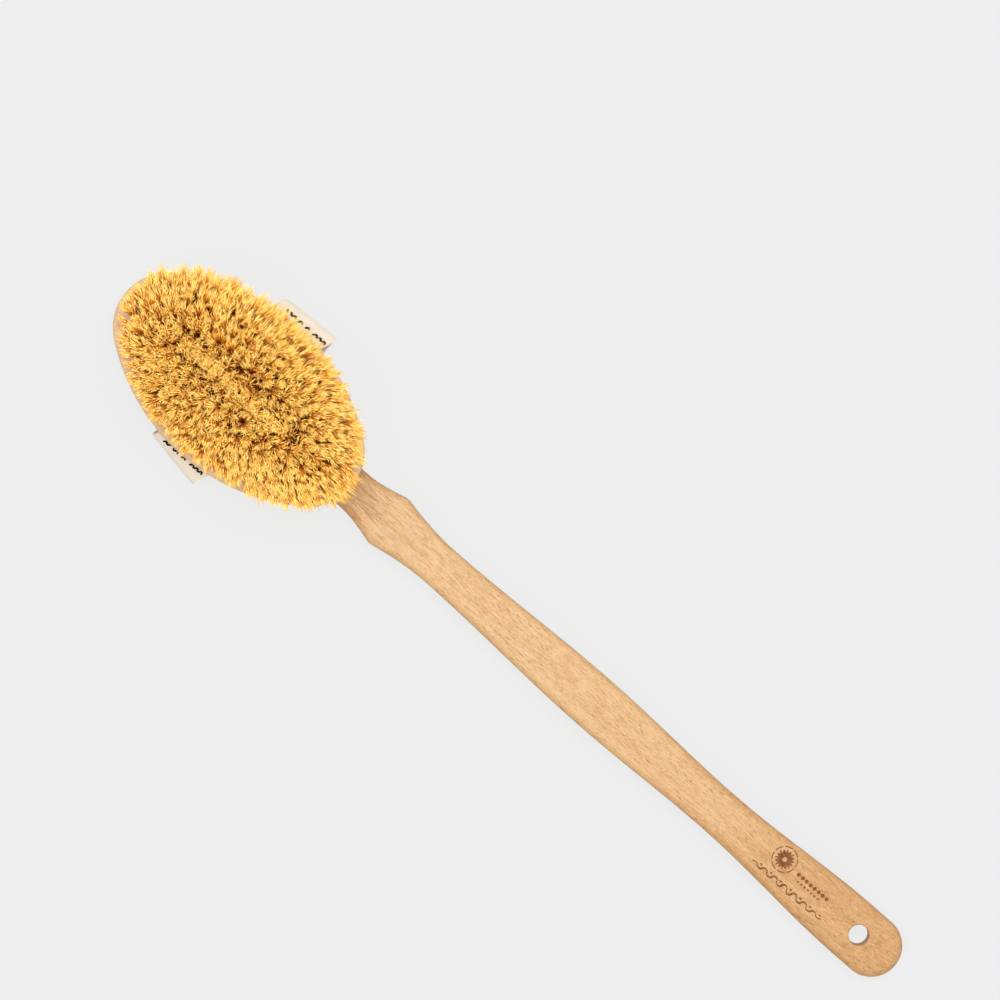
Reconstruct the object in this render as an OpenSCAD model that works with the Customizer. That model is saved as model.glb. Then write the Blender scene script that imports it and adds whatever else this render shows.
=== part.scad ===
// Body dry brush: an oval bristle head with a hand strap on its back,
// and a long flat handle that slides into a dovetail slot in the head.
// The brush lies on its back, bristles up. X runs along the handle, which ends at +X.
// The origin is at the centre of the overall box, on the surface the brush lies on.

/* [Overall] */
// Length from the front of the head to the end of the handle
overall_len = 440; // [430:5:460]

/* [Head block] */
// Length of the oval block
block_len = 127.2; // [124:0.4:130]
// Width of the oval block
block_w = 74; // [72:0.5:76]
// Thickness of the block
block_t = 20; // [19:0.5:24]
// Height of the block's back above the surface the brush lies on
block_z = 9; // [8.8:0.1:9.4]
// Rounding of the edge around the bristle face
face_round = 2.5; // [1:0.5:4]
// Rounding of the edge around the back
back_round = 6; // [4:0.5:6.5]

/* [Bristles] */
// Height of the bristle tips above the block's face
tuft_reach = 26; // [24:1:30]
// Diameter of a tuft hole
hole_d = 4; // [3.6:0.1:4]
// Depth of a tuft hole
hole_depth = 8; // [7:0.5:8]
// Diameter of a tuft at its tips
tip_d = 5.6; // [5:0.1:5.6]
// Least spacing of the tuft holes along a ring
hole_pitch = 5.3; // [5.3:0.1:6]

/* [Handle] */
// Thickness of the handle
handle_t = 10; // [9:0.5:11]
// Width of the neck where it leaves the block
neck_w = 18.6; // [18:0.2:19]
// Extra width at the shoulder
shoulder_rise = 6.9; // [4:0.1:8]
// Width of the belly
belly_w = 23.6; // [22:0.2:26]
// Width of the waist
waist_w = 20; // [18:0.5:22]
// Width of the broad end
end_w = 27; // [26:0.5:30]
// Diameter of the hanging hole
hang_d = 9; // [7:0.5:10]
// Rounding of the handle's long edges
edge_round = 3.4; // [2:0.2:4]

/* [Tongue] */
// Length of the handle's tongue in the block
tongue_len = 60; // [50:1:62]
// Width of the tongue at the block's back
tongue_w = 14; // [12:0.5:14.5]
// Clearance around the tongue
tongue_gap = 0.2; // [0.15:0.05:0.3]

/* [Strap] */
// Width of the strap
strap_w = 29; // [26:1:34]
// Thickness of the strap
strap_t = 1.6; // [1.2:0.1:1.8]
// Distance between the outsides of the strap's two folds
strap_span = 87; // [86:0.5:90]
// Tacks at each end of the strap
tack_count = 3; // [2:1:3]

/* [Hidden] */
$fn = 48;

// Colours of the wood, the fibre, the canvas and the metal
beech = [0.87, 0.68, 0.48];
fibre = [0.90, 0.70, 0.28];
canvas = [0.93, 0.88, 0.80];
brass = [0.80, 0.66, 0.36];
steel = [0.72, 0.72, 0.72];

// Places along X and levels along Z
front_x = -overall_len / 2;
end_x = overall_len / 2;
rear_x = front_x + block_len;
centre_x = front_x + block_len / 2;
face_z = block_z + block_t;
over = 1;               // how far a cutter runs past the face it cuts

// ---- Handle: a place along it is s, measured from the rear of the block ----
handle_len = end_x - rear_x;
neck_in = 5.6;          // how far the neck enters the block's pocket
neck_z = 12.3;          // height of the neck's mid-plane
shoulder_s = 21.5;
shoulder_before = 17;   // length of the shoulder's flank towards the head
shoulder_after = 27;
neck_end_s = 50;
belly_s = 140;
waist_s = 210;
broad_s = 290;
crest_s = 130;          // where the handle arches highest
crest_rise = 4;
cap_r = end_w / 2;
cap_s = handle_len - cap_r;
hang_s = handle_len - 21.2;
edge_angles = [-90 : 30 : 90];

function ease(u) = (1 - cos(180 * u)) / 2;
function between(s, s0, s1, a, b) = a + (b - a) * ease((s - s0) / (s1 - s0));

// Width without the shoulder
function plain_w(s) =
    s < neck_end_s ? neck_w :
    s < belly_s ? between(s, neck_end_s, belly_s, neck_w, belly_w) :
    s < waist_s ? between(s, belly_s, waist_s, belly_w, waist_w) :
    s < broad_s ? between(s, waist_s, broad_s, waist_w, end_w) : end_w;

// Share of the shoulder's extra width: a soft peak with hollow flanks
function flank(away, run, power) = pow(max(0, 1 - away / run), power);
function shoulder(s) =
    let (d = s - shoulder_s, away = sqrt(d * d + 1) - 1)
    d < 0 ? flank(away, shoulder_before, 1.5) : flank(away, shoulder_after, 1.7);

function half_w(s) = (plain_w(s) + shoulder_rise * shoulder(s)) / 2;

// Height of the mid-plane: level at the neck, then a gentle arch down to the surface
function spine_z(s) =
    let (top = neck_z + crest_rise, u = (s - crest_s) / (handle_len - edge_round - crest_s))
    s < 0 ? neck_z :
    s < crest_s ? between(s, 0, crest_s, neck_z, top) :
    top - (top - handle_t / 2) * u * u;

// One side of the outline as [s, half width], from the neck's start to the tip
side_line = concat(
    [[-neck_in, neck_w / 2]],
    [for (s = [0 : 2.5 : neck_end_s]) [s, half_w(s)]],
    [for (s = [neck_end_s + 4 : 4.5 : cap_s - 1]) [s, half_w(s)]],
    [for (a = [0 : 7.5 : 90]) [cap_s + cap_r * sin(a), cap_r * cos(a)]]);
last = len(side_line) - 1;
loop_len = 2 * last + 1;

// Direction out of the outline at point i
function along(i) =
    i == 0 ? [1, 0] :
    i == last ? [0, -1] : side_line[i + 1] - side_line[i - 1];
function outward(i) = let (d = along(i)) [-d[1], d[0]] / norm(d);

// The outline drawn in by an inset, as a closed loop of points at a height off the mid-plane
function edge_loop(inset, dz) =
    let (side = [for (i = [0 : last]) side_line[i] - inset * outward(i)])
    concat(
        [for (p = side) [rear_x + p[0], p[1], spine_z(p[0]) + dz]],
        [for (i = [last - 1 : -1 : 0]) [rear_x + side[i][0], -side[i][1], spine_z(side[i][0]) + dz]]);

// Triangles that fill the loop starting at point n, seen from above, and its underside
function cap(n) = concat(
    [for (i = [0 : last - 1]) [n + i, n + i + 1, n + 2 * last - i]],
    [for (i = [0 : last - 2]) [n + i + 1, n + 2 * last - i - 1, n + 2 * last - i]]);
function turned(faces) = [for (f = faces) [f[2], f[1], f[0]]];

// Triangles between the loop starting at n and the next one above it
function band(n) = [
    for (i = [0 : loop_len - 1])
        let (j = (i + 1) % loop_len)
        each [[n + loop_len + j, n + loop_len + i, n + i], [n + loop_len + j, n + i, n + j]]];

// ---- Bristles: ring 1 is the outermost, an oval at the block's face and a wider one at the tips ----
tip_inset = 3;          // outermost tips, in from the block's outline
tip_ring_gap = 7.3;
base_inset = 10.5;      // outermost holes, in from the block's outline
base_ring_gap = 5.7;
root_d = hole_d - 0.1;
root_gap = 0.3;         // left under a tuft in its hole
neck_up = 0.8;          // where a tuft starts to lean, above the block's face
anchor_size = [root_d - 0.1, 0.5, 1.5];
anchor_lift = 1.2;      // the anchor above the bottom of its tuft
anchor_slack = 0.05;

// The inner rings are fuller at their ends than an ellipse, so that their tufts don't crowd
function oval_power(k) = 2 + 0.05 * pow(k - 1, 2);
function bent(v, k) = sign(v) * pow(abs(v), 2 / oval_power(k));
function oval(inset, k, t) = [
    (block_len / 2 - inset) * bent(cos(t), k),
    (block_w / 2 - inset) * bent(sin(t), k)];
function tip_at(k, t) = oval(tip_inset + tip_ring_gap * (k - 1), k, t);
function base_at(k, t) = oval(base_inset + base_ring_gap * (k - 1), k, t);

// Distance run along a ring of holes against the angle, and the angles that space them evenly
function run_table(k) = [
    for (t = 0, run = 0; t <= 360; run = run + norm(base_at(k, t + 2) - base_at(k, t)), t = t + 2) [run, t]];
function tuft_angles(k) =
    let (table = run_table(k), total = table[len(table) - 1][0], count = 2 * floor(total / 2 / hole_pitch))
    [for (i = [0 : count - 1]) lookup(total * i / count, table)];

// Puts its children at every hole of ring k, at the block's face. $lean and $turn say how the tuft leans
module each_hole(k) {
    for (t = tuft_angles(k)) {
        base = base_at(k, t);
        drift = tip_at(k, t) - base;
        $lean = atan2(norm(drift), tuft_reach);
        $turn = atan2(drift[1], drift[0]);
        translate([centre_x + base[0], base[1], face_z]) children();
    }
}

// ---- Strap and its seat in the block ----
loop_r = 7;             // outside radius of the strap's fold
kerf_z = 2 * loop_r - strap_t;
kerf_depth = 14;
kerf_gap = 0.1;
tack_y = block_w / 2 - 8.5;
tack_pitch = 9;
tack_d = 1.6;
tack_head_d = 4;
tack_head_t = 0.8;
tack_top_z = 20;
tack_gap = 0.1;         // all round a tack

module each_tack(side) {
    for (i = [0 : tack_count - 1])
        translate([centre_x + tack_pitch * (i - (tack_count - 1) / 2), side * tack_y, block_z])
            children();
}
module tack_shape(gap) {
    translate([0, 0, -gap]) cylinder(d = tack_head_d + 2 * gap, h = tack_head_t + 2 * gap);
    cylinder(d = tack_d + 2 * gap, h = tack_top_z - block_z + gap);
}

// ---- Tongue and slot ----
tongue_flare = 0.25;    // how fast the tongue widens with height
tongue_top_z = neck_z + handle_t / 2 - 0.1;
pocket_gap = 0.3;

module dovetail(low, high, gap) {
    function half(z) = tongue_w / 2 + (z - block_z) * tongue_flare + gap;
    rotate([90, 0, 90]) linear_extrude(tongue_len + 2 * gap + over)
        polygon([[-half(low), low], [half(low), low], [half(high), high], [-half(high), high]]);
}
tongue_x = rear_x - neck_in - tongue_len;

// ---- Head block: a four-arc oval laid out on 3-4-5 triangles, so that its arcs meet smoothly ----
oval_unit = (block_len - block_w) / 4;
end_r = block_w / 2 - oval_unit;
end_c = 3 * oval_unit;
side_r = block_w / 2 + 4 * oval_unit;
side_c = 4 * oval_unit;

// A round slab with both edges rounded
module disc(r) {
    rotate_extrude() {
        translate([0, block_z]) square([r - back_round, block_t]);
        translate([0, block_z + back_round]) square([r, block_t - back_round - face_round]);
        translate([0, block_z + back_round]) square([r - face_round, block_t - back_round]);
        translate([r - back_round, block_z + back_round]) circle(back_round);
        translate([r - face_round, face_z - face_round]) circle(face_round);
    }
}

// The sector of the plan that an end arc spans
module end_sector() {
    linear_extrude(face_z + over)
        polygon([[end_c, 0], [end_c + 9 * oval_unit, -12 * oval_unit], [end_c + 9 * oval_unit, 12 * oval_unit]]);
}

module oval_block() {
    difference() {
        intersection() {
            translate([0, side_c, 0]) disc(side_r);
            translate([0, -side_c, 0]) disc(side_r);
        }
        end_sector();
        mirror([1, 0, 0]) end_sector();
    }
    for (end = [0, 1]) mirror([end, 0, 0]) intersection() {
        translate([end_c, 0, 0]) disc(end_r);
        end_sector();
    }
}

module head_block() {
    color(beech) difference() {
        translate([centre_x, 0, 0]) oval_block();
        // pocket for the neck, and the slot for the tongue
        translate([rear_x - neck_in - pocket_gap, -neck_w / 2 - pocket_gap, block_z - over])
            cube([neck_in + pocket_gap + over, neck_w + 2 * pocket_gap,
                neck_z + handle_t / 2 + pocket_gap - block_z + over]);
        translate([tongue_x - 2 * tongue_gap, 0, 0])
            dovetail(block_z - over, tongue_top_z + tongue_gap, tongue_gap);
        // kerfs for the strap's ends, and the tack holes
        for (side = [-1, 1]) {
            translate([centre_x, side * (block_w / 2 - kerf_depth / 2 + over / 2), kerf_z + strap_t / 2])
                cube([strap_w + 2 * kerf_gap, kerf_depth + over, strap_t + 2 * kerf_gap], center = true);
            each_tack(side) tack_shape(tack_gap);
        }
        for (k = [1 : 5])
            each_hole(k) translate([0, 0, -hole_depth]) cylinder(d = hole_d, h = hole_depth + over);
    }
}

module handle() {
    loops = [for (a = edge_angles)
        edge_loop(edge_round * (1 - cos(a)), sign(a) * (handle_t / 2 - edge_round) + edge_round * sin(a))];
    color(beech) difference() {
        union() {
            polyhedron(
                [for (l = loops) each l],
                concat(
                    turned(cap(0)),
                    [for (i = [0 : len(loops) - 2]) each band(i * loop_len)],
                    cap((len(loops) - 1) * loop_len)));
            translate([tongue_x, 0, 0]) dovetail(block_z + tongue_gap, tongue_top_z, 0);
        }
        translate([rear_x + hang_s, 0, -over]) cylinder(d = hang_d, h = 4 * handle_t);
    }
}

module hand_strap() {
    fold_y = strap_span / 2 - loop_r;
    color(canvas) difference() {
        translate([centre_x - strap_w / 2, 0, 0]) rotate([90, 0, 90]) linear_extrude(strap_w) {
            translate([-fold_y, 0]) square([2 * fold_y, strap_t]);
            for (side = [0, 1]) mirror([side, 0]) {
                translate([fold_y, loop_r]) difference() {
                    circle(loop_r);
                    circle(loop_r - strap_t);
                    translate([-2 * loop_r, -loop_r]) square(2 * loop_r);
                }
                translate([block_w / 2 - kerf_depth + kerf_gap, kerf_z])
                    square([fold_y - block_w / 2 + kerf_depth - kerf_gap, strap_t]);
            }
        }
        for (side = [-1, 1]) each_tack(side) tack_shape(tack_gap);
    }
}

module strap_tacks(side) {
    color(steel) each_tack(side) tack_shape(0);
}

// The level of an anchor's middle, below the block's face
anchor_z = root_gap - hole_depth + anchor_lift + anchor_size[2] / 2;

module tuft_ring(k) {
    slot = anchor_size + [1, 2 * anchor_slack, 2 * anchor_slack];
    color(fibre) each_hole(k) rotate([0, 0, $turn]) difference() {
        union() {
            translate([0, 0, root_gap - hole_depth]) cylinder(d = root_d, h = hole_depth - root_gap + 3 * neck_up);
            translate([0, 0, neck_up]) rotate([0, $lean, 0])
                cylinder(d1 = root_d + 0.4, d2 = tip_d, h = tuft_reach - neck_up);
        }
        translate([0, 0, anchor_z]) cube(slot, center = true);
    }
}

module tuft_anchors_ring(k) {
    color(brass) each_hole(k) rotate([0, 0, $turn])
        translate([0, 0, anchor_z]) cube(anchor_size, center = true);
}

head_block();
handle();
hand_strap();
strap_tacks(1);  // strap_tacks_left
strap_tacks(-1);  // strap_tacks_right
tuft_ring(1);  // tuft_ring_1
tuft_ring(2);  // tuft_ring_2
tuft_ring(3);  // tuft_ring_3
tuft_ring(4);  // tuft_ring_4
tuft_ring(5);  // tuft_ring_5
tuft_anchors_ring(1);  // tuft_anchors_ring_1
tuft_anchors_ring(2);  // tuft_anchors_ring_2
tuft_anchors_ring(3);  // tuft_anchors_ring_3
tuft_anchors_ring(4);  // tuft_anchors_ring_4
tuft_anchors_ring(5);  // tuft_anchors_ring_5
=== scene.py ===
# Looks of the body dry brush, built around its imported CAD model, in the frame of the CAD: the brush lies
# on its back, bristles up, and its handle runs towards +X.
import math

import bpy
import numpy as np
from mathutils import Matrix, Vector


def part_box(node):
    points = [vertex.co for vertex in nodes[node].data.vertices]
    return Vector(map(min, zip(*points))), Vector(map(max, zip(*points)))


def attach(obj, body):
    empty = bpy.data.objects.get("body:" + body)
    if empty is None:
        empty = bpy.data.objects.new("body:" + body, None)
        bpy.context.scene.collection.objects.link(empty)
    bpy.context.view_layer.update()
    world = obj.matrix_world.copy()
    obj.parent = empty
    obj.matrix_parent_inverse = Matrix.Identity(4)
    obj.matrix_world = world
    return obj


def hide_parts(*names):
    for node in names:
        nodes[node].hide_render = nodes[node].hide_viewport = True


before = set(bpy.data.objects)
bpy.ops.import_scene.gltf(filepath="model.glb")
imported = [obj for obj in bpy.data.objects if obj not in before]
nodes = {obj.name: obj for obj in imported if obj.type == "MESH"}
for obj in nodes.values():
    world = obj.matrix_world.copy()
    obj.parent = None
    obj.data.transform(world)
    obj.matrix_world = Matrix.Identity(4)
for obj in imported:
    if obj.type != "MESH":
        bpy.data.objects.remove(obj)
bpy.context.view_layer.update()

MM = 0.001

# ---- Places read from the frame, in millimetres like every shape below ----


def box_mm(node):
    low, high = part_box(node)
    return np.array(low) / MM, np.array(high) / MM


HEAD_LOW, HEAD_HIGH = box_mm("head_block")
HANDLE_LOW, HANDLE_HIGH = box_mm("handle")
STRAP_LOW, STRAP_HIGH = box_mm("hand_strap")
CENTRE_X = (HEAD_LOW[0] + HEAD_HIGH[0]) / 2
REAR_X = HEAD_HIGH[0]
BLOCK_LEN = HEAD_HIGH[0] - HEAD_LOW[0]
BLOCK_W = HEAD_HIGH[1] - HEAD_LOW[1]
BACK_Z = HEAD_LOW[2]
FACE_Z = HEAD_HIGH[2]

# ---- Meshes ----


def add_object(name, points, polygons, finishes, choice=None, smooth=True):
    """A mesh object from points in millimetres. choice gives the finish that each polygon takes."""
    mesh = bpy.data.meshes.new(name)
    points = np.asarray(points, np.float32).reshape(-1, 3) * MM
    sizes = np.array([len(p) for p in polygons], np.int32)
    corners = np.concatenate([np.asarray(p, np.int32) for p in polygons])
    mesh.vertices.add(len(points))
    mesh.vertices.foreach_set("co", points.ravel())
    mesh.loops.add(len(corners))
    mesh.loops.foreach_set("vertex_index", corners)
    mesh.polygons.add(len(sizes))
    mesh.polygons.foreach_set("loop_start", np.concatenate([[0], np.cumsum(sizes)[:-1]]).astype(np.int32))
    for finish in finishes:
        mesh.materials.append(finish)
    if choice is not None:
        mesh.polygons.foreach_set("material_index", np.asarray(choice, np.int32))
    mesh.polygons.foreach_set("use_smooth", np.full(len(sizes), smooth))
    mesh.update(calc_edges=True)
    mesh.validate()
    piece = bpy.data.objects.new(name, mesh)
    bpy.context.scene.collection.objects.link(piece)
    return piece


def sharpen(piece, degrees):
    piece.data.set_sharp_from_angle(angle=math.radians(degrees))


# ---- Materials ----


def srgb(red, green, blue):
    """Linear colour, with alpha, of a display colour given from 0 to 255."""
    def linear(v):
        v = v / 255
        return v / 12.92 if v <= 0.04045 else ((v + 0.055) / 1.055) ** 2.4
    return linear(red), linear(green), linear(blue), 1


class Finish:
    """A material with one Principled shader, and short calls for the nodes that feed it."""

    def __init__(self, name, colour, roughness, **sockets):
        self.material = bpy.data.materials.new(name)
        self.material.use_nodes = True
        self.tree = self.material.node_tree
        self.shader = self.tree.nodes["Principled BSDF"]
        self.shader.inputs["Base Color"].default_value = colour
        self.shader.inputs["Roughness"].default_value = roughness
        for socket, value in sockets.items():
            self.shader.inputs[socket.replace("_", " ")].default_value = value

    def add(self, kind, inputs=(), **settings):
        made = self.tree.nodes.new("ShaderNode" + kind)
        for key, value in settings.items():
            setattr(made, key, value)
        for socket, value in dict(inputs).items():
            self.feed(made.inputs[socket], value)
        return made

    def feed(self, socket, value):
        if isinstance(value, bpy.types.NodeSocket):
            self.tree.links.new(value, socket)
        else:
            socket.default_value = value

    def place(self, scale, turn=(0, 0, 0)):
        """Object coordinates scaled to cells per metre."""
        spot = self.add("TexCoord").outputs["Object"]
        return self.add("Mapping", {"Vector": spot, "Rotation": turn, "Scale": scale}).outputs["Vector"]

    def noise(self, where, detail=2.0, distortion=0.0):
        inputs = {"Vector": where, "Scale": 1.0, "Detail": detail, "Distortion": distortion}
        return self.add("TexNoise", inputs).outputs["Fac"]

    def ramp(self, value, low, high, to_low=0.0, to_high=1.0):
        inputs = {"Value": value, "From Min": low, "From Max": high, "To Min": to_low, "To Max": to_high}
        return self.add("MapRange", inputs).outputs["Result"]

    def math(self, operation, first, second):
        return self.add("Math", {0: first, 1: second}, operation=operation).outputs["Value"]

    def mix(self, factor, first, second, blend="MIX"):
        made = self.add("Mix", data_type="RGBA", blend_type=blend)
        self.feed(made.inputs["Factor"], factor)
        self.feed(made.inputs[6], first)
        self.feed(made.inputs[7], second)
        return made.outputs[2]

    def bump(self, height, distance, strength=1.0):
        inputs = {"Height": height, "Distance": distance, "Strength": strength}
        normal = self.add("Bump", inputs).outputs["Normal"]
        self.tree.links.new(normal, self.shader.inputs["Normal"])

    def colour(self, socket):
        self.tree.links.new(socket, self.shader.inputs["Base Color"])

    def roughness(self, socket):
        self.tree.links.new(socket, self.shader.inputs["Roughness"])


def beech(name, pale, deep, pore, shift=0.0, painted_shade_fades=(), streaked=None, paint_shade_among_tufts=False):
    """Steamed beech, grain along X: soft growth bands, fine streaks and short dark rays.
    Each fade is painted shade that darkens the wood along X: (x where it starts, x where it is full, how
    deep it goes), with x in millimetres.
    streaked is (x where long dark streaks start, x where they are strongest), also in millimetres; on the
    handle these streaks are part of the bristles' painted shadow over the neck.
    The flag for the tufted face paints shade in dark orange-brown on the block's face among the tufts, so
    that the gaps between them look deep, and dulls the wood's shine."""
    wood = Finish(name, pale, 0.5, Specular_IOR_Level=0.04 if paint_shade_among_tufts else 0.3)
    sway = wood.noise(wood.place((9, 26, 26)), 1.0)
    bands = wood.noise(wood.place((14, 230, 170), turn=(0, 0, 0.12 + shift)), 2.0, 0.6)
    streaks = wood.noise(wood.place((170, 1700, 1700)), 3.0)
    tone = wood.math("ADD", wood.ramp(bands, 0.35, 0.68, 0.05, 0.4),
                     wood.ramp(sway, 0.35, 0.7, -0.08, 0.12))
    tone = wood.math("ADD", tone, wood.ramp(streaks, 0.3, 0.7, -0.3, 0.36))
    grit = wood.noise(wood.place((600, 2400, 2400)), 1.0)
    tone = wood.math("ADD", tone, wood.ramp(grit, 0.3, 0.7, -0.25, 0.25))
    spot = wood.add("SeparateXYZ", {0: wood.add("TexCoord").outputs["Object"]}).outputs
    # Painted shade: each fade darkens the wood along X.
    for start, full, depth in painted_shade_fades:
        tone = wood.math("ADD", tone, wood.ramp(spot["X"], start * MM, full * MM, 0.0, depth))
    ground = wood.mix(tone, pale, deep)
    rays = None
    for long_cells, cross_cells, reach, depth in ((150, 1050, 0.26, 0.6), (340, 1900, 0.3, 0.5)):
        cells = wood.add("TexVoronoi", {"Vector": wood.place((long_cells, cross_cells, cross_cells)),
                                        "Scale": 1.0}).outputs["Distance"]
        ray = wood.ramp(cells, reach, reach * 0.45, 0.0, depth)
        rays = ray if rays is None else wood.math("MAXIMUM", rays, ray)
    patchy = wood.ramp(wood.noise(wood.place((60, 160, 160), turn=(0, 0, 0.3)), 1.0), 0.3, 0.6, 0.35)
    marks = wood.math("MULTIPLY", rays, patchy)
    # Painted shadow of the bristles, drawn as long dark streaks near the neck.
    if streaked:
        lines = wood.ramp(wood.noise(wood.place((120, 1600, 1600)), 2.0), 0.52, 0.66, 0.0, 0.7)
        near = wood.ramp(spot["X"], streaked[0] * MM, streaked[1] * MM)
        marks = wood.math("MAXIMUM", marks, wood.math("MULTIPLY", lines, near))
    grained = wood.mix(marks, ground, pore)
    # Painted shade: inside the tufts' oval, the block's face is darkened to a deep orange-brown.
    if paint_shade_among_tufts:
        from_x = wood.math("ABSOLUTE", wood.math("SUBTRACT", spot["X"], CENTRE_X * MM), 0.0)
        from_y = wood.math("ABSOLUTE", spot["Y"], 0.0)
        out_x = wood.ramp(from_x, 0.0, BLOCK_LEN / 2 * MM)
        out_y = wood.ramp(from_y, 0.0, BLOCK_W / 2 * MM)
        out = wood.math("ADD", wood.math("POWER", out_x, 2.0), wood.math("POWER", out_y, 2.0))
        inside = wood.ramp(out, 0.72, 0.58)
        on_face = wood.ramp(spot["Z"], (FACE_Z - 0.6) * MM, (FACE_Z - 0.1) * MM)
        grained = wood.mix(wood.math("MULTIPLY", inside, on_face), grained, PAINTED_SHADE_FACE)
    wood.colour(grained)
    wood.roughness(wood.ramp(streaks, 0.3, 0.7, 0.42, 0.6))
    relief = wood.math("SUBTRACT", wood.math("MULTIPLY", streaks, 0.5), rays)
    wood.bump(relief, 0.00005, 0.35)
    return wood.material


PAINTED_SHADE_FACE = srgb(150, 64, 2)      # painted shade on the block's face among the tufts
# Painted shade on the handle: the bristles' shadow darkens the neck, and shade darkens the broad end where
# it slopes away from the light.
HANDLE_PAINTED_SHADE = ((REAR_X + 18, REAR_X - 2, 0.45), (REAR_X + 150, REAR_X + 270, 0.25))
HANDLE_WOOD = beech("beech_handle", srgb(181, 146, 103), srgb(156, 110, 62), srgb(96, 54, 22),
                    painted_shade_fades=HANDLE_PAINTED_SHADE, streaked=(REAR_X + 45, REAR_X))
HEAD_WOOD = beech("beech_head", srgb(206, 174, 136), srgb(186, 146, 104), srgb(120, 82, 50),
                  shift=0.3, paint_shade_among_tufts=True)


def burnt_wood():
    """Scorched lines: brown, matt and uneven."""
    burn = Finish("burnt_marks", srgb(150, 98, 56), 0.8, Specular_IOR_Level=0.2)
    uneven = burn.noise(burn.place((500, 900, 900)), 2.0)
    burn.colour(burn.mix(burn.ramp(uneven, 0.3, 0.7), srgb(88, 50, 24), srgb(126, 80, 46)))
    burn.bump(uneven, 0.00004, 0.4)
    return burn.material


def canvas():
    """Natural cotton webbing in plain weave."""
    cloth = Finish("cotton_webbing", srgb(240, 228, 212), 0.9,
                   Specular_IOR_Level=0.15, Sheen_Weight=0.25)
    warp = cloth.add("TexWave", {"Vector": cloth.place((1, 1, 1)), "Scale": 410.0, "Distortion": 0.6,
                                 "Detail": 1.0}, bands_direction="X").outputs["Fac"]
    fuzz = cloth.noise(cloth.place((2200, 2200, 2200)), 3.0)
    soil = cloth.noise(cloth.place((90, 90, 90)), 2.0)
    shade = cloth.math("ADD", cloth.ramp(warp, 0, 1, 0.0, 0.3), cloth.ramp(fuzz, 0.3, 0.7, 0.0, 0.35))
    shade = cloth.math("ADD", shade, cloth.ramp(soil, 0.4, 0.7, 0.0, 0.25))
    cloth.colour(cloth.mix(shade, srgb(214, 204, 188), srgb(194, 178, 157)))
    cloth.bump(cloth.math("ADD", warp, cloth.math("MULTIPLY", fuzz, 0.6)), 0.00012, 0.6)
    return cloth.material


def thread():
    """Black cotton thread with its twist."""
    strand = Finish("black_thread", srgb(30, 25, 22), 0.8, Specular_IOR_Level=0.1)
    twist = strand.add("TexWave", {"Vector": strand.place((1, 1, 1)), "Scale": 600.0},
                       bands_direction="DIAGONAL").outputs["Fac"]
    strand.colour(strand.mix(twist, srgb(18, 14, 12), srgb(50, 42, 36)))
    strand.bump(twist, 0.00006, 0.5)
    return strand.material


def metal(name, colour, dull, roughness):
    """Drawn metal with fine scratches and a dull bloom."""
    sheet = Finish(name, colour, roughness, Metallic=1.0)
    lines = sheet.noise(sheet.place((300, 4000, 4000)), 2.0)
    bloom = sheet.noise(sheet.place((900, 900, 900)), 2.0)
    sheet.colour(sheet.mix(sheet.ramp(bloom, 0.35, 0.7), colour, dull))
    sheet.roughness(sheet.ramp(lines, 0.3, 0.7, roughness - 0.08, roughness + 0.15))
    sheet.bump(lines, 0.00002, 0.3)
    return sheet.material


def dress(node, material):
    for slot in nodes[node].material_slots:
        slot.material = material


RINGS = range(1, 6)
dress("head_block", HEAD_WOOD)
STEEL = metal("tack_steel", srgb(196, 196, 194), srgb(150, 146, 140), 0.35)
BRASS = metal("anchor_brass", srgb(214, 178, 98), srgb(160, 126, 70), 0.4)
for side_name in ("left", "right"):
    dress("strap_tacks_" + side_name, STEEL)
for ring in RINGS:
    dress(f"tuft_anchors_ring_{ring}", BRASS)

# ---- Handle: a place along it is s, measured from the rear of the block ----
HANDLE_LEN = HANDLE_HIGH[0] - REAR_X
NECK_IN = 5.6           # how far the neck enters the block's pocket
NECK_W = 18.6
SHOULDER_RISE = 6.9
BELLY_W = 23.6
WAIST_W = 20.0
END_W = HANDLE_HIGH[1] - HANDLE_LOW[1]
THICK = 10.0
NECK_Z = 12.3           # height of the neck's mid-plane
EDGE_ROUND = 3.4
SHOULDER_S, SHOULDER_BEFORE, SHOULDER_AFTER = 21.5, 17.0, 27.0
NECK_END_S, BELLY_S, WAIST_S, BROAD_S = 50.0, 140.0, 210.0, 290.0
CREST_S, CREST_RISE = 130.0, 4.0
CAP_R = END_W / 2
CAP_S = HANDLE_LEN - CAP_R
HANG_S = HANDLE_LEN - 21.2
HANG_R = 4.5
RIM_ROUND = 0.7         # softening of the hanging hole's rims
HOLE_ROOM = 8.4         # how far the ring of faces around the hole reaches along the handle
ROW_STEPS = 12          # faces across the broad side


def between(s, s0, s1, a, b):
    return a + (b - a) * (1 - math.cos(math.pi * (s - s0) / (s1 - s0))) / 2


def plain_w(s):
    if s < NECK_END_S:
        return NECK_W
    if s < BELLY_S:
        return between(s, NECK_END_S, BELLY_S, NECK_W, BELLY_W)
    if s < WAIST_S:
        return between(s, BELLY_S, WAIST_S, BELLY_W, WAIST_W)
    return between(s, WAIST_S, BROAD_S, WAIST_W, END_W) if s < BROAD_S else END_W


def shoulder(s):
    away = math.hypot(s - SHOULDER_S, 1) - 1
    run, power = (SHOULDER_BEFORE, 1.5) if s < SHOULDER_S else (SHOULDER_AFTER, 1.7)
    return max(0, 1 - away / run) ** power


def half_w(s):
    return (plain_w(s) + SHOULDER_RISE * shoulder(s)) / 2


def spine_z(s):
    top = NECK_Z + CREST_RISE
    if s < 0:
        return NECK_Z
    if s < CREST_S:
        return between(s, 0, CREST_S, NECK_Z, top)
    return top - (top - THICK / 2) * ((s - CREST_S) / (HANDLE_LEN - EDGE_ROUND - CREST_S)) ** 2


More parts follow.
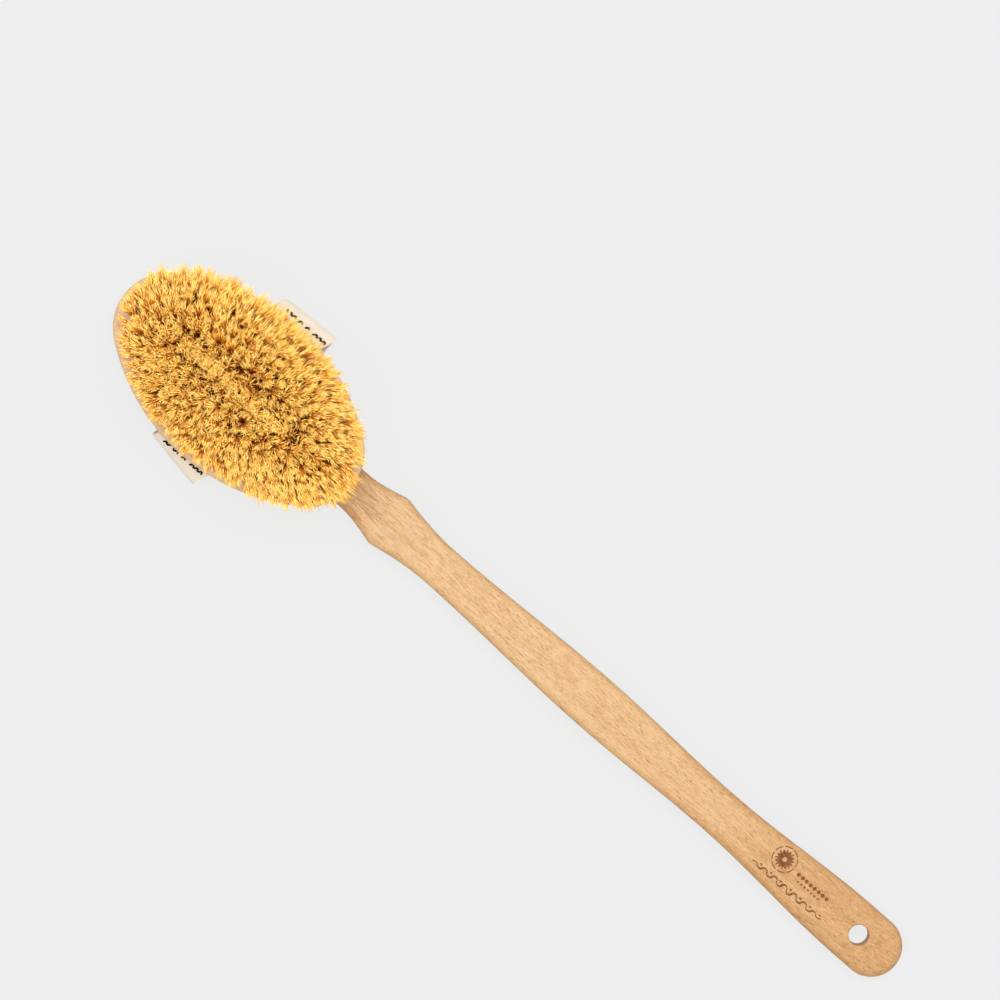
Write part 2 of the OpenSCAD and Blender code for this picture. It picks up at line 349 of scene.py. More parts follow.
def side_line():
    """One side of the handle's outline as [s, half width], from the neck's start to the tip."""
    line = [[-NECK_IN, NECK_W / 2], [-NECK_IN / 2, NECK_W / 2]]
    line += [[s, half_w(s)] for s in np.arange(0, NECK_END_S, 1.25)]
    line += [[s, half_w(s)] for s in np.arange(NECK_END_S, CAP_S - 1, 2.0)]
    line += [[CAP_S + CAP_R * math.sin(a), CAP_R * math.cos(a)] for a in np.radians(np.arange(0, 91, 5))]
    return np.array(line)


def outward(line):
    """Unit vectors out of the outline."""
    run = np.gradient(line, axis=0)
    run[0] = [1, 0]
    run[-1] = [0, -1]
    normal = np.stack([-run[:, 1], run[:, 0]], 1)
    return normal / np.linalg.norm(normal, axis=1)[:, None]


class HandleShell:
    """The handle's closed surface: rounded edge bands, two broad sides and the hanging hole."""

    def __init__(self):
        self.points = []
        self.faces = []

    def point(self, s, y, dz):
        self.points.append([REAR_X + s, y, spine_z(s) + dz])
        return len(self.points) - 1

    def quads(self, first, second, closed=False, flip=False):
        """Faces between two rows of points."""
        count = len(first)
        for i in range(count if closed else count - 1):
            j = (i + 1) % count
            face = list(dict.fromkeys([first[i], first[j], second[j], second[i]]))
            if len(face) > 2:
                self.faces.append(face[::-1] if flip else face)

    def edge_bands(self):
        line, normal = side_line(), outward(side_line())
        self.plus, self.minus = [], []
        for angle in np.radians(np.arange(-90, 91, 11.25)):
            side = line - EDGE_ROUND * (1 - math.cos(angle)) * normal
            dz = np.sign(round(angle, 6)) * (THICK / 2 - EDGE_ROUND) + EDGE_ROUND * math.sin(angle)
            plus = [self.point(s, y, dz) for s, y in side]
            minus = [self.point(s, -y, dz) for s, y in side[:-1]] + [plus[-1]]
            self.plus.append(plus)
            self.minus.append(minus)
        for low, high in zip(self.plus[:-1], self.plus[1:]):
            self.quads(low, high, flip=True)
        for low, high in zip(self.minus[:-1], self.minus[1:]):
            self.quads(low, high)

    def broad_side(self, level, dz, flip):
        """The flat of one broad side, with rings of faces around the hanging hole. Returns the hole's rim
        and the bearing of each of its points."""
        plus, minus = self.plus[level], self.minus[level]
        rows = []
        for a, b in zip(plus, minus):
            (xa, ya, _), (_, yb, _) = self.points[a], self.points[b]
            if a == b:
                rows.append([a] * (ROW_STEPS + 1))
                continue
            shares = [t / ROW_STEPS for t in range(1, ROW_STEPS)]
            inner = [self.point(xa - REAR_X, ya + (yb - ya) * share, dz) for share in shares]
            rows.append([a] + inner + [b])
        places = [self.points[a][0] - REAR_X for a in plus]
        first = max(i for i, s in enumerate(places) if s < HANG_S - HOLE_ROOM)
        last = min(i for i, s in enumerate(places) if s > HANG_S + HOLE_ROOM)
        for i in range(len(rows) - 1):
            if not first <= i < last:
                self.quads(rows[i], rows[i + 1], flip=flip)
        rim = rows[first][::-1] + plus[first + 1:last] + rows[last] + minus[last - 1:first:-1]
        bearing = [math.atan2(self.points[i][1], self.points[i][0] - REAR_X - HANG_S) for i in rim]
        outer_r = HANG_R + RIM_ROUND
        ring = rim
        for share in (0.35, 0.7, 1.0):
            spots = []
            for i, angle in zip(rim, bearing):
                x, y = self.points[i][0] - REAR_X, self.points[i][1]
                goal_x, goal_y = HANG_S + outer_r * math.cos(angle), outer_r * math.sin(angle)
                spots.append(self.point(x + (goal_x - x) * share, y + (goal_y - y) * share, dz))
            self.quads(ring, spots, closed=True, flip=not flip)
            ring = spots
        return ring, bearing

    def hole_wall(self, top, bottom, bearing):
        row = top
        steps = [(math.sin(a), 1 - math.cos(a)) for a in np.radians(np.arange(15, 91, 15))]
        half = THICK / 2
        levels = [(HANG_R + RIM_ROUND * (1 - out), half - RIM_ROUND * down) for out, down in steps]
        levels += [(HANG_R, z) for z in np.linspace(half - RIM_ROUND, RIM_ROUND - half, 6)[1:-1]]
        levels += [(radius, -z) for radius, z in levels[:len(steps)][::-1]]
        for radius, dz in levels:
            spots = [self.point(HANG_S + radius * math.cos(a), radius * math.sin(a), dz) for a in bearing]
            self.quads(row, spots, closed=True)
            row = spots
        self.quads(row, bottom, closed=True)

    def neck_end(self, top_row, bottom_row):
        loop = [p[0] for p in self.plus] + top_row[1:-1] + [m[0] for m in self.minus][::-1]
        self.faces.append(loop + bottom_row[1:-1][::-1])


def build_handle():
    shell = HandleShell()
    shell.edge_bands()
    start = len(shell.points)
    top, bearing = shell.broad_side(-1, THICK / 2, flip=False)
    top_row = [shell.plus[-1][0]] + list(range(start, start + ROW_STEPS - 1)) + [shell.minus[-1][0]]
    start = len(shell.points)
    bottom, _ = shell.broad_side(0, -THICK / 2, flip=True)
    bottom_row = [shell.plus[0][0]] + list(range(start, start + ROW_STEPS - 1)) + [shell.minus[0][0]]
    shell.hole_wall(top, bottom, bearing)
    shell.neck_end(top_row, bottom_row)
    piece = add_object("handle_body", shell.points, shell.faces, [HANDLE_WOOD])
    sharpen(piece, 50)
    return piece


TONGUE_LEN = 60.0
TONGUE_W = 14.0
TONGUE_FLARE = 0.25     # how fast the tongue widens with height
TONGUE_GAP = 0.2
TONGUE_SOFT = 0.6       # softening of the tongue's edges


def build_tongue():
    """The dovetail tongue, swept along X with softened edges and a chamfered free end."""
    low, high = BACK_Z + TONGUE_GAP, NECK_Z + THICK / 2 - 0.1

    def half(z):
        return TONGUE_W / 2 + (z - BACK_Z) * TONGUE_FLARE

    def section(shrink):
        corners = [(half(low) - shrink, low + shrink), (half(high) - shrink, high - shrink)]
        corners += [(-y, z) for y, z in corners[::-1]]
        outline = []
        for i, corner in enumerate(corners):
            corner = np.array(corner)
            before, after = np.array(corners[i - 1]), np.array(corners[(i + 1) % 4])
            enter = corner + (before - corner) / np.linalg.norm(before - corner) * TONGUE_SOFT
            leave = corner + (after - corner) / np.linalg.norm(after - corner) * TONGUE_SOFT
            for t in np.linspace(0, 1, 5):
                outline.append((1 - t) ** 2 * enter + 2 * t * (1 - t) * corner + t * t * leave)
        return outline

    start = REAR_X - NECK_IN - TONGUE_LEN
    stations = [(start, 0.8), (start + 0.3, 0.3), (start + 0.8, 0.0)]
    stations += [(x, 0.0) for x in np.linspace(start + 5, start + TONGUE_LEN + 1, 24)]
    points, faces = [], []
    for x, shrink in stations:
        points += [(x, y, z) for y, z in section(shrink)]
    count = len(section(0))
    for n in range(len(stations) - 1):
        for i in range(count):
            j = (i + 1) % count
            faces.append([n * count + i, n * count + j, (n + 1) * count + j, (n + 1) * count + i])
    faces.append(list(range(count))[::-1])
    faces.append([(len(stations) - 1) * count + i for i in range(count)])
    piece = add_object("handle_tongue", points, faces, [HANDLE_WOOD])
    sharpen(piece, 35)
    return piece


# ---- Burnt ornament on the handle: a rosette, two rows of lozenges and a waving line ----
BURN_RISE = 0.03        # the marks' faces stand this far above the wood, so that they show
BURN_SINK = 0.25        # and reach this far into it
ROSETTE_S, ROSETTE_Y, ROSETTE_R = 245.5, 3.5, 5.6
PETALS = 8
# Each row of lozenges: where it starts along the handle, its pitch, how many, its y, and their size
LOZENGE_ROWS = ((254.5, 2.3, 8, 2.5, 2.1, 2.1), (256.2, 1.9, 7, 0.0, 1.3, 1.1))
WAVE_START_S, WAVE_END_S, WAVE_Y = 235.0, 274.5, -5.8
WAVES, WAVE_RISE = 7, 1.1
LEAF_LONG, LEAF_SHORT = 1.7, 0.9


class Burn:
    """Flat marks laid on the handle's upper side. Each outline is a list of [s, y]."""

    def __init__(self):
        self.points = []
        self.faces = []

    def strip(self, left, right):
        """A closed slab between two lines of the same number of points."""
        count = len(left)
        start = len(self.points)
        for rise in (BURN_RISE, -BURN_SINK):
            for s, y in list(left) + list(right):
                self.points.append([REAR_X + s, y, spine_z(s) + THICK / 2 + rise])
        top, low = start, start + 2 * count
        for i in range(count - 1):
            self.faces.append([top + i, top + i + 1, top + count + i + 1, top + count + i])
            self.faces.append([low + count + i, low + count + i + 1, low + i + 1, low + i])
            self.faces.append([top + i + 1, top + i, low + i, low + i + 1])
            self.faces.append([top + count + i, top + count + i + 1,
                               low + count + i + 1, low + count + i])
        for i, sign in ((0, 1), (count - 1, -1)):
            side = [top + i, top + count + i, low + count + i, low + i]
            self.faces.append(side[::sign])

    def stroke(self, centre, widths):
        """A strip along a centre line, as wide as widths says at each point."""
        centre = np.array(centre, float)
        run = np.gradient(centre, axis=0)
        normal = np.stack([-run[:, 1], run[:, 0]], 1) / np.linalg.norm(run, axis=1)[:, None]
        offset = normal * np.array(widths)[:, None] / 2
        self.strip(centre + offset, centre - offset)

    def petal(self, bearing, start, end, width):
        along = np.linspace(0, 1, 13)
        reach = start + (end - start) * along
        centre = np.stack([ROSETTE_S + reach * math.cos(bearing), ROSETTE_Y + reach * math.sin(bearing)], 1)
        self.stroke(centre, width * np.sin(math.pi * along ** 0.8) + 0.05)

    def arc(self, radius, start, end, width):
        angles = np.linspace(start, end, 24)
        centre = np.stack([ROSETTE_S + radius * np.cos(angles), ROSETTE_Y + radius * np.sin(angles)], 1)
        self.stroke(centre, np.full(24, width))

    def lozenge(self, s, y, long_way, short_way):
        centre = [[s + long_way * (t - 0.5), y] for t in np.linspace(0, 1, 5)]
        self.stroke(centre, [0.06, short_way * 0.6, short_way, short_way * 0.6, 0.06])


def build_burn():
    burn = Burn()
    turn = 2 * math.pi / PETALS
    for n in range(PETALS):
        burn.petal(n * turn, 0.9, 4.3, 1.9)
        burn.petal((n + 0.5) * turn, 2.6, 4.6, 0.7)
        burn.arc(ROSETTE_R, n * turn + 0.08, (n + 1) * turn - 0.08, 0.45)
    for row_s, pitch, count, y, long_way, short_way in LOZENGE_ROWS:
        for n in range(count):
            burn.lozenge(row_s + pitch * n, y, long_way, short_way)
    along = np.linspace(0, 1, 150)
    phase = along * WAVES * 2 * math.pi
    fade = np.sin(math.pi * np.clip(along * 1.04 - 0.02, 0, 1)) ** 0.35
    wave = np.stack([WAVE_START_S + (WAVE_END_S - WAVE_START_S) * along - 0.3 * np.sin(2 * phase),
                     WAVE_Y + WAVE_RISE * fade * np.sin(phase)], 1)
    burn.stroke(wave, 0.45 + 0.55 * (0.5 + 0.5 * np.cos(phase)) * fade)
    for n in range(WAVES):
        middle = WAVE_START_S + (WAVE_END_S - WAVE_START_S) * (n + 0.75) / WAVES
        burn.lozenge(middle, WAVE_Y + WAVE_RISE, LEAF_LONG, LEAF_SHORT)
    return add_object("handle_burnt_ornament", burn.points, burn.faces, [burnt_wood()], smooth=False)


handle_pieces = [build_handle(), build_tongue(), build_burn()]
for piece in handle_pieces:
    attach(piece, "handle")
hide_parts("handle")

# ---- Bristles: tufts of plant fibre in the rings that the CAD has ----
TIP_INSET = 3.6         # outermost tips, in from the block's outline
TIP_RING_GAP = 7.3
BASE_INSET = 10.5       # outermost holes, in from the block's outline
BASE_RING_GAP = 5.7
HOLE_PITCH = 5.3        # least spacing of the holes along a ring
TUFT_REACH = 26.0
ROOT_R = 1.75
FIBRES = (188, 193, 187, 178, 178)      # in a tuft of each ring
SHORT_SHARE = 0.25      # of the fibres, broken off lower down
SHORT_FALL = (3.0, 12.0)
INNER_PULL = 1.9        # how much nearer the middle the tips of ring 5 lie, to close the parting
CLUMPS = 24             # bunches of fibres that lean together, in a tuft
CLUMP_REACH = 3.5       # how far a bunch's tip may be from its tuft's, on the outermost ring
CLUMP_GAIN = 0.22       # more for each ring inwards
DRIFT = (2.8, 2.0)      # the outer bristles are combed a little towards the handle and to one side,
DRIFT_TURN = -0.045     # and askew: this much more to the side for each millimetre along X
SWELL = -0.02           # their sides lean out more at the front: this much for each millimetre along X
TUFT_STRAY = 1.3        # how far a whole tuft may lean astray
LEAN_POWER = 2.1        # how late along its length a fibre bends over
SPLAY = (1.7, 3.2)      # longest swing of a fibre's end out of its tuft, on rings 1 and 5
SPLAY_START = 0.5       # how far up a fibre the swing starts
OUTWARD = 1.6           # extra lean of the fibre ends on the outermost ring
HEIGHTS = np.array([0.0, 0.42, 0.70, 0.87, 1.0])      # of a fibre's rings of points
SHADE_BANDS = 5               # colours from the block up to the tips, darker lower down as painted shade
SHADE_BAND_TOPS = np.array([0.32, 0.6, 0.78, 0.9])    # where each colour ends, as a share of the tufts' reach: the painted shade follows height above the block
SIDES = 3               # of a fibre
GIRTH = (0.15, 0.22)    # radius at the root of the thinnest and the thickest fibre
# Fibre colours from the darkest tone to the palest, at the block and at the tips. The darker, deep orange
# roots are painted shade, warmed to stand for light that passes through the fibres.
ROOT_TONES = ((218, 104, 6), (228, 118, 12), (236, 136, 24), (242, 154, 40))
TIP_TONES = ((250, 208, 102), (252, 216, 116), (254, 225, 132), (255, 235, 158))
TONES = len(ROOT_TONES)


def fibre_finishes():
    """One finish for each tone of fibre and band along it, from the dark root to the pale tip; the
    darkening towards the root is painted shade.
    """
    finishes = []
    for tone in range(TONES):
        for band in range(SHADE_BANDS):
            share = (band / (SHADE_BANDS - 1)) ** 1.05
            mixed = [a + (b - a) * share for a, b in zip(ROOT_TONES[tone], TIP_TONES[tone])]
            finish = Finish(f"fibre_{tone}_{band}", srgb(*mixed), 0.6 - 0.1 * share,
                            Specular_IOR_Level=0.08 * share ** 4)
            ribs = finish.noise(finish.place((2600, 2600, 500)), 2.0)
            finish.roughness(finish.ramp(ribs, 0.3, 0.7, 0.45, 0.75))
            finish.bump(ribs, 0.00003, 0.5)
            finishes.append(finish.material)
    return finishes


def oval(inset, ring, t):
    power = 2 / (2 + 0.05 * (ring - 1) ** 2)
    c, s = np.cos(t), np.sin(t)
    return np.stack([(BLOCK_LEN / 2 - inset) * np.sign(c) * np.abs(c) ** power,
                     (BLOCK_W / 2 - inset) * np.sign(s) * np.abs(s) ** power], -1)


def tuft_places(ring):
    """Where a ring's tufts leave the block and where their tips are, about the block's centre."""
    inset = BASE_INSET + BASE_RING_GAP * (ring - 1)
    table = np.radians(np.arange(0, 362, 2.0))
    steps = np.linalg.norm(np.diff(oval(inset, ring, table), axis=0), axis=1)
    run = np.concatenate([[0], np.cumsum(steps)])
    count = 2 * int(run[-1] / 2 / HOLE_PITCH)
    t = np.interp(run[-1] * np.arange(count) / count, run, table)
    tip_inset = TIP_INSET + TIP_RING_GAP * (ring - 1) + (INNER_PULL if ring == RINGS[-1] else 0)
    return oval(inset, ring, t), oval(tip_inset, ring, t)


def disc(rng, shape, radius):
    """Random places spread evenly over a disc."""
    angle = rng.uniform(0, 2 * math.pi, shape)
    reach = radius * np.sqrt(rng.uniform(0, 1, shape))
    return np.stack([reach * np.cos(angle), reach * np.sin(angle)], -1)


def fibre_paths(ring, rng):
    """Centre lines of a ring's fibres, as [tuft, fibre, height, xyz]."""
    base, tip = tuft_places(ring)
    tufts, fibres = len(base), FIBRES[ring - 1]
    tuft_row = np.arange(tufts)[:, None]
    reach = CLUMP_REACH + CLUMP_GAIN * (ring - 1)
    outer = (RINGS[-1] - ring) / (RINGS[-1] - 1)
    clump_at = disc(rng, (tufts, CLUMPS), reach)
    clump_rise = rng.normal(0, 0.9, (tufts, CLUMPS))
    root = disc(rng, (tufts, fibres), ROOT_R)
    # the clumps keep to the side of the tuft where their fibres are rooted
    order = np.linalg.norm(root[:, :, None] / ROOT_R - clump_at[:, None] / reach, axis=-1)
    clump_of = np.argmin(order + rng.uniform(0, 0.9, order.shape), axis=-1)
    clump_tip = clump_at[tuft_row, clump_of]
    # each fibre's end swings out of its tuft, roughly away from the tuft's middle
    flare = clump_tip / reach + disc(rng, (tufts, fibres), 0.9)
    flare /= np.maximum(np.linalg.norm(flare, axis=-1, keepdims=True), 1e-6)
    flare *= rng.uniform(0.4, SPLAY[1] + (SPLAY[0] - SPLAY[1]) * outer, (tufts, fibres, 1))
    away = base / np.linalg.norm(base, axis=-1, keepdims=True)
    flare += (away * OUTWARD * outer)[:, None, :] * rng.uniform(0, 1, (tufts, fibres, 1))
    short = rng.uniform(0, 1, (tufts, fibres)) < SHORT_SHARE
    fall = np.abs(rng.normal(0, 1.1, (tufts, fibres)))
    fall += short * rng.uniform(*SHORT_FALL, (tufts, fibres))
    length = TUFT_REACH + clump_rise[tuft_row, clump_of] - fall
    length = np.minimum(length, TUFT_REACH + 0.6)
    u = HEIGHTS[None, None, :, None]
    drift = np.tile(DRIFT, (tufts, 1))
    drift[:, 1] += base[:, 0] * (DRIFT_TURN + SWELL * base[:, 1] / (BLOCK_W / 2))
    stray = disc(rng, tufts, TUFT_STRAY)
    lean = (tip - base + drift * outer + stray)[:, None, None, :] * u ** LEAN_POWER
    spread = root[:, :, None, :] * (1 - u) ** 1.2 + clump_tip[:, :, None, :] * u ** 1.9
    splay = flare[:, :, None, :] * np.clip((u - SPLAY_START) / (1 - SPLAY_START), 0, 1) ** 1.5
    kinks = rng.normal(0, 0.17, (tufts, fibres, len(HEIGHTS), 2)) * np.minimum(1, 3 * u)
    across = base[:, None, None, :] + lean + spread + splay + kinks
    rise = FACE_Z - 1.0 + (length[:, :, None] + 1.0) * HEIGHTS
    path = np.concatenate([across, rise[..., None]], -1)
    path[..., 0] += CENTRE_X
    return path


def fibre_mesh(path, rng):
    """Three-sided tubes along the paths, drawn to a point, with a finish for each face."""
    tufts, fibres, rows, _ = path.shape
    path = path.reshape(-1, rows, 3)
    count = len(path)
    girth = rng.uniform(*GIRTH, (count, 1, 1)) * (1 - 0.15 * HEIGHTS[None, :-1, None])
    turn = rng.uniform(0, 2 * math.pi, (count, 1, 1)) + np.arange(SIDES) * 2 * math.pi / SIDES
    ring_points = np.repeat(path[:, :-1, None, :], SIDES, axis=2)
    ring_points[..., 0] += girth * np.cos(turn)
    ring_points[..., 1] += girth * np.sin(turn)
    points = np.concatenate([ring_points.reshape(count, -1, 3), path[:, -1:, :]], 1)
    per_fibre = points.shape[1]
    faces, row_of = [], []
    for row in range(rows - 2):
        for side in range(SIDES):
            a, b = row * SIDES + side, row * SIDES + (side + 1) % SIDES
            faces += [[a, b, b + SIDES], [a, b + SIDES, a + SIDES]]
            row_of += [row, row]
    last = (rows - 2) * SIDES
    for side in range(SIDES):
        faces.append([last + side, last + (side + 1) % SIDES, per_fibre - 1])
        row_of.append(rows - 2)
    faces.append([2, 1, 0])
    row_of.append(0)
    all_faces = (np.array(faces)[None] + (np.arange(count) * per_fibre)[:, None, None]).reshape(-1, 3)
    tone = np.clip(rng.normal(1.6, 0.9, count), 0, TONES - 0.01).astype(int)
    # Painted shade: each face's colour band goes by its height above the block, darker the deeper it lies.
    height = (path[:, :-1, 2] + path[:, 1:, 2]) / 2 - FACE_Z
    band = np.searchsorted(SHADE_BAND_TOPS, height / TUFT_REACH)
    choice = (tone[:, None] * SHADE_BANDS + band[:, row_of]).ravel()
    return points.reshape(-1, 3), all_faces, choice


FIBRE_FINISHES = fibre_finishes()
for ring in RINGS:
    rng = np.random.default_rng(4100 + ring)
    points, faces, choice = fibre_mesh(fibre_paths(ring, rng), rng)
    piece = add_object(f"bristles_ring_{ring}", points, faces, FIBRE_FINISHES, choice)
    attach(piece, "head")
    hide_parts(f"tuft_ring_{ring}")

# ---- Hand strap: webbing that leaves the block's kerf, folds under and runs across the back ----
STRAP_W = STRAP_HIGH[0] - STRAP_LOW[0] - 0.6
STRAP_T = 1.3
KERF_Z = 13.2           # mid-height of the kerf
RUN_Z = 0.85            # mid-height of the run across the back
KERF_END_Y = 23.6       # where the webbing ends, inside the block
FOLD_START_Y = 36.0
FOLD_POWER = 2.8        # squareness of the fold
FOLD_STEPS = 44
RIB_PITCH = 1.55
RIB_RISE = 0.07
# Reach of each fold from the middle, at its front and its rear edge
FOLD_REACH = {1: (42.3, 43.7), -1: (39.1, 43.6)}
SKEW = {1: 2.2, -1: -2.6}       # how far each fold sits from the middle, along X
RUN_NARROW = 0.9        # how much narrower the webbing is drawn under the block, at its rear edge


def fold_reach(side, x):
    """How far a fold reaches at x: the webbing is pulled slightly askew."""
    front, rear = FOLD_REACH[side]
    return front + (rear - front) * (x / STRAP_W + 0.5)


def strap_path(x):
    """The webbing's centre line at x, about the block's centre, as [y, z] from one end to the other."""
    line = []
    for side in (1, -1):
        reach = fold_reach(side, x) - FOLD_START_Y
        half_height = (KERF_Z - RUN_Z) / 2
        middle = (KERF_Z + RUN_Z) / 2
        leg = [(side * y, KERF_Z) for y in np.linspace(KERF_END_Y, FOLD_START_Y, 9)[:-1]]
        fold = []
        for angle in np.linspace(math.pi / 2, -math.pi / 2, FOLD_STEPS):
            c, s = math.cos(angle), math.sin(angle)
            fold.append((side * (FOLD_START_Y + reach * abs(c) ** (2 / FOLD_POWER)),
                         middle + half_height * math.copysign(abs(s) ** (2 / FOLD_POWER), s)))
        part = leg + fold
        line += part if side == 1 else part[::-1]
        if side == 1:
            run_from, run_to = line[-1][0], -FOLD_START_Y
            line += [(y, RUN_Z) for y in np.linspace(run_from, run_to, 60)[1:-1]]
    return np.array(line)


def skewed(x, y, z):
    """x shifted: nothing in the kerf, growing over the fold and turning over across the back."""
    full = SKEW[1] if y > 0 else SKEW[-1]
    drawn_in = RUN_NARROW * (x / STRAP_W + 0.5) * min(1, max(0, (KERF_Z - z) / (KERF_Z - RUN_Z)))
    if z > KERF_Z / 2:
        return x - drawn_in + full * min(1, max(0, (abs(y) - FOLD_START_Y) / 6))
    return x - drawn_in + full * min(1, abs(y) / FOLD_START_Y)


def even_steps(line, count):
    steps = np.linalg.norm(np.diff(line, axis=0), axis=1)
    run = np.concatenate([[0], np.cumsum(steps)])
    goal = np.linspace(0, run[-1], count)
    return np.stack([np.interp(goal, run, line[:, i]) for i in (0, 1)], 1), run[-1]


def build_strap():
    across = np.linspace(-1, 1, 41)
    columns, lengths = [], []
    count = int(round(even_steps(strap_path(0), 2)[1] / RIB_PITCH)) * 4 + 1
    for share in across:
        line, length = even_steps(strap_path(share * STRAP_W / 2), count)
        lengths.append(length)
        run = np.gradient(line, axis=0)
        normal = np.stack([-run[:, 1], run[:, 0]], 1) / np.linalg.norm(run, axis=1)[:, None]
        thin = STRAP_T / 2 * max(0.25, (1 - abs(share) ** 16)) ** 0.5
        rib = RIB_RISE * np.cos(2 * math.pi * np.arange(count) / 4 + math.pi * round(share * 18.5))
        columns.append((share * STRAP_W / 2, line + normal * (thin + rib)[:, None],
                        line - normal * (thin - rib)[:, None]))
    points, faces = [], []
    for x, upper, lower in columns:
        points += [(CENTRE_X + skewed(x, y, z), y, z) for y, z in upper]
        points += [(CENTRE_X + skewed(x, y, z), y, z) for y, z in lower]

    def at(column, layer, i):
        return (column * 2 + layer) * count + i

    last = len(columns) - 1
    for column in range(last):
        for i in range(count - 1):
            faces.append([at(column, 0, i), at(column, 0, i + 1),
                          at(column + 1, 0, i + 1), at(column + 1, 0, i)])
            faces.append([at(column, 1, i), at(column + 1, 1, i),
                          at(column + 1, 1, i + 1), at(column, 1, i + 1)])
        for i, order in ((0, 1), (count - 1, -1)):
            quad = [at(column, 0, i), at(column + 1, 0, i), at(column + 1, 1, i), at(column, 1, i)]
            faces.append(quad[::order])
    for column, order in ((0, -1), (last, 1)):
        for i in range(count - 1):
            quad = [at(column, 0, i), at(column, 0, i + 1), at(column, 1, i + 1), at(column, 1, i)]
            faces.append(quad[::order])
    piece = add_object("hand_strap_webbing", points, faces, [canvas()])
    sharpen(piece, 60)
    return piece, float(np.mean(lengths))


STITCH_Y = {1: 39.2, -1: 37.9}
STITCH_LONG, STITCH_THICK = 1.9, 0.95
STITCH_STEP = 1.15
# Where each group of stitches starts, along X about the block's middle, and how many stitches it has
STITCH_GROUPS = {1: ((-8.6, 5), (-1.4, 2), (2.6, 2), (7.0, 6)),
                 -1: ((-9.0, 3), (-4.0, 3), (1.4, 2), (6.2, 6))}


def build_stitches(side):
    """Groups of short slanting black stitches across the webbing, just outside the block."""
    points, faces = [], []
    places = [start + STITCH_STEP * n for start, count in STITCH_GROUPS[side] for n in range(count)]
    for n, middle_x in enumerate(places):
        slant = math.radians(52 if n % 2 else -52)
        start = len(points)
        rows = 9
        for row in range(rows):
            t = row / (rows - 1) * 2 - 1
            x = middle_x + t * STITCH_LONG / 2 * math.cos(slant)
            y = STITCH_Y[side] + t * STITCH_LONG / 2 * math.sin(slant)
            line = strap_path(x)
            upper = line[(line[:, 1] > KERF_Z / 2) & (line[:, 0] * side > 0)]
            order = np.argsort(np.abs(upper[:, 0]))
            z = np.interp(y, np.abs(upper[order, 0]), upper[order, 1]) + STRAP_T / 2
            girth = STITCH_THICK / 2 * math.sqrt(max(0.05, 1 - t ** 4))
            for corner in range(8):
                angle = corner * math.pi / 4
                dx, dy = -math.sin(slant) * math.cos(angle), math.cos(slant) * math.cos(angle)
                points.append([CENTRE_X + skewed(x, side * y, z) + dx * girth, side * (y + dy * girth),
                               z + 0.6 * girth * math.sin(angle) + 0.08])
        for row in range(rows - 1):
            for corner in range(8):
                a, b = start + row * 8 + corner, start + row * 8 + (corner + 1) % 8
                faces.append([a, b, b + 8, a + 8][::side])
        faces.append([start + i for i in range(8)][::-side])
        faces.append([start + (rows - 1) * 8 + i for i in range(8)][::side])
    name = "strap_stitches_" + ("left" if side == 1 else "right")
    return add_object(name, points, faces, [BLACK_THREAD])


BLACK_THREAD = thread()
strap, strap_length = build_strap()
stitches = [build_stitches(1), build_stitches(-1)]
for piece in [strap] + stitches:
    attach(piece, "head")
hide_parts("hand_strap")

# ---- Floor, light and camera, in metres but for the floor's corners ----
BACKDROP = srgb(239, 239, 239)
FLOOR_REACH = 12000
FLOOR_GREY = 0.46
MATT_SHARE = 0.1        # of the floor's look, which is otherwise its own even glow
AIM = (-0.05, 0, 0.03)  # the point that the lamps face, in metres


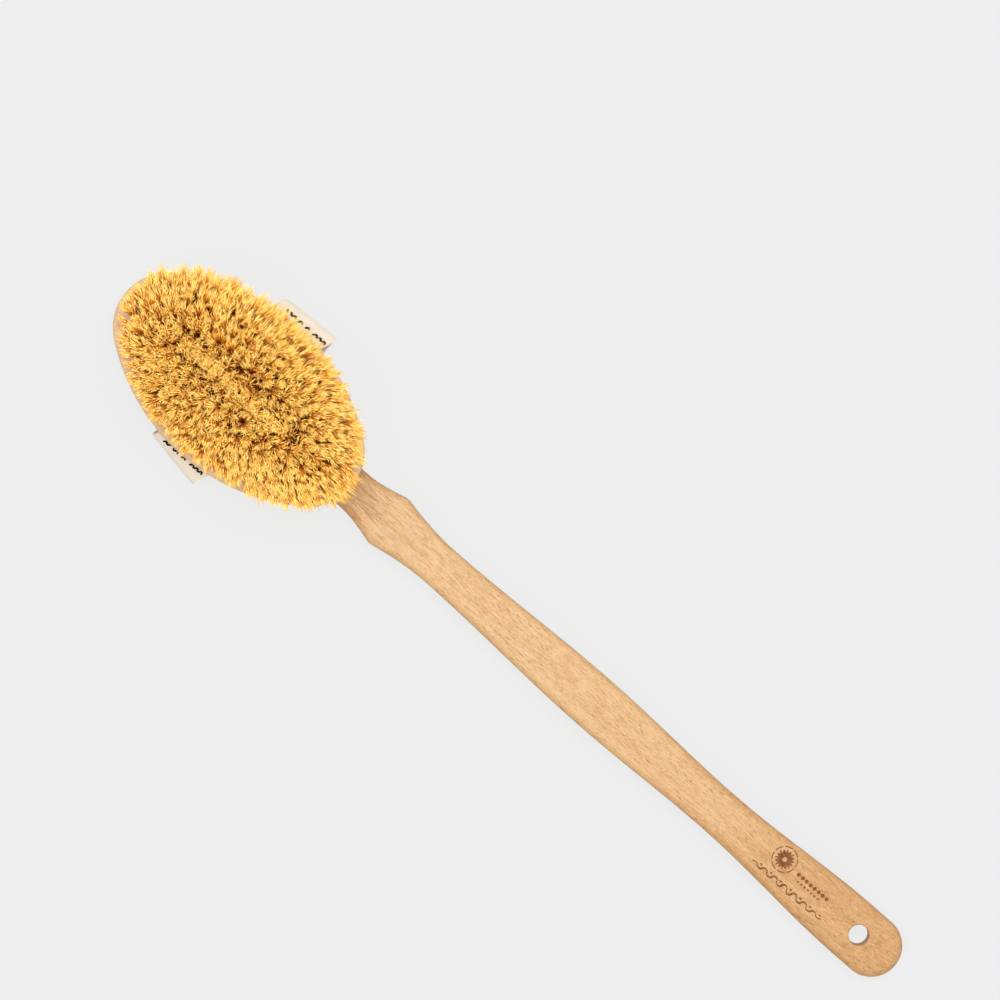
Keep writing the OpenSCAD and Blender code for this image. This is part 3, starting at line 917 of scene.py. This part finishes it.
def build_floor():
    corners = [(FLOOR_REACH * x, FLOOR_REACH * y, 0) for x, y in ((-1, -1), (1, -1), (1, 1), (-1, 1))]
    floor = add_object("floor", corners, [[0, 1, 2, 3]], [])
    paper = bpy.data.materials.new("paper_sweep")
    paper.use_nodes = True
    tree = paper.node_tree
    tree.nodes.clear()
    glow = tree.nodes.new("ShaderNodeEmission")
    glow.inputs["Color"].default_value = BACKDROP
    matt = tree.nodes.new("ShaderNodeBsdfDiffuse")
    matt.inputs["Color"].default_value = (FLOOR_GREY, FLOOR_GREY, FLOOR_GREY, 1)
    blend = tree.nodes.new("ShaderNodeMixShader")
    blend.inputs["Fac"].default_value = MATT_SHARE
    end = tree.nodes.new("ShaderNodeOutputMaterial")
    tree.links.new(glow.outputs["Emission"], blend.inputs[1])
    tree.links.new(matt.outputs["BSDF"], blend.inputs[2])
    tree.links.new(blend.outputs["Shader"], end.inputs["Surface"])
    floor.data.materials.append(paper)


def area_light(name, place, size, power):
    """A round lamp, placed in metres, that faces the brush."""
    data = bpy.data.lights.new(name, "AREA")
    data.shape = "DISK"
    data.size = size
    data.energy = power
    lamp = bpy.data.objects.new(name, data)
    lamp.location = place
    aim = np.array(AIM) - np.array(place)
    flat = math.hypot(aim[0], aim[1])
    lamp.rotation_euler = (math.atan2(flat, -aim[2]), 0, math.atan2(-aim[0], aim[1]) if flat else 0)
    bpy.context.scene.collection.objects.link(lamp)


def light_scene():
    world = bpy.data.worlds.new("studio")
    bpy.context.scene.world = world
    world.use_nodes = True
    sky = world.node_tree.nodes["Background"]
    sky.inputs["Color"].default_value = BACKDROP
    sky.inputs["Strength"].default_value = 1.0
    area_light("key", (-0.12, 0.35, 1.7), 0.8, 20)
    area_light("fill", (-0.15, -0.35, 1.6), 1.2, 12)
    area_light("side", (0.0, 1.2, 0.5), 0.9, 2)


VIEW_TURN = math.radians(41.38)
VIEW_CENTRE = (-0.0413, 0.0385)
VIEW_WIDTH = 0.430      # width of the view at the handle's height
VIEW_HEIGHT = 1.66      # of the camera above the handle
HANDLE_LEVEL = 0.016
SENSOR = 36


def place_camera():
    data = bpy.data.cameras.new("camera")
    data.sensor_width = SENSOR
    data.lens = SENSOR * VIEW_HEIGHT / VIEW_WIDTH
    camera = bpy.data.objects.new("camera", data)
    camera.location = (*VIEW_CENTRE, HANDLE_LEVEL + VIEW_HEIGHT)
    camera.rotation_euler = (0, 0, VIEW_TURN)
    bpy.context.scene.collection.objects.link(camera)
    bpy.context.scene.camera = camera


build_floor()
light_scene()
place_camera()
bpy.context.scene.view_settings.view_transform = "Standard"
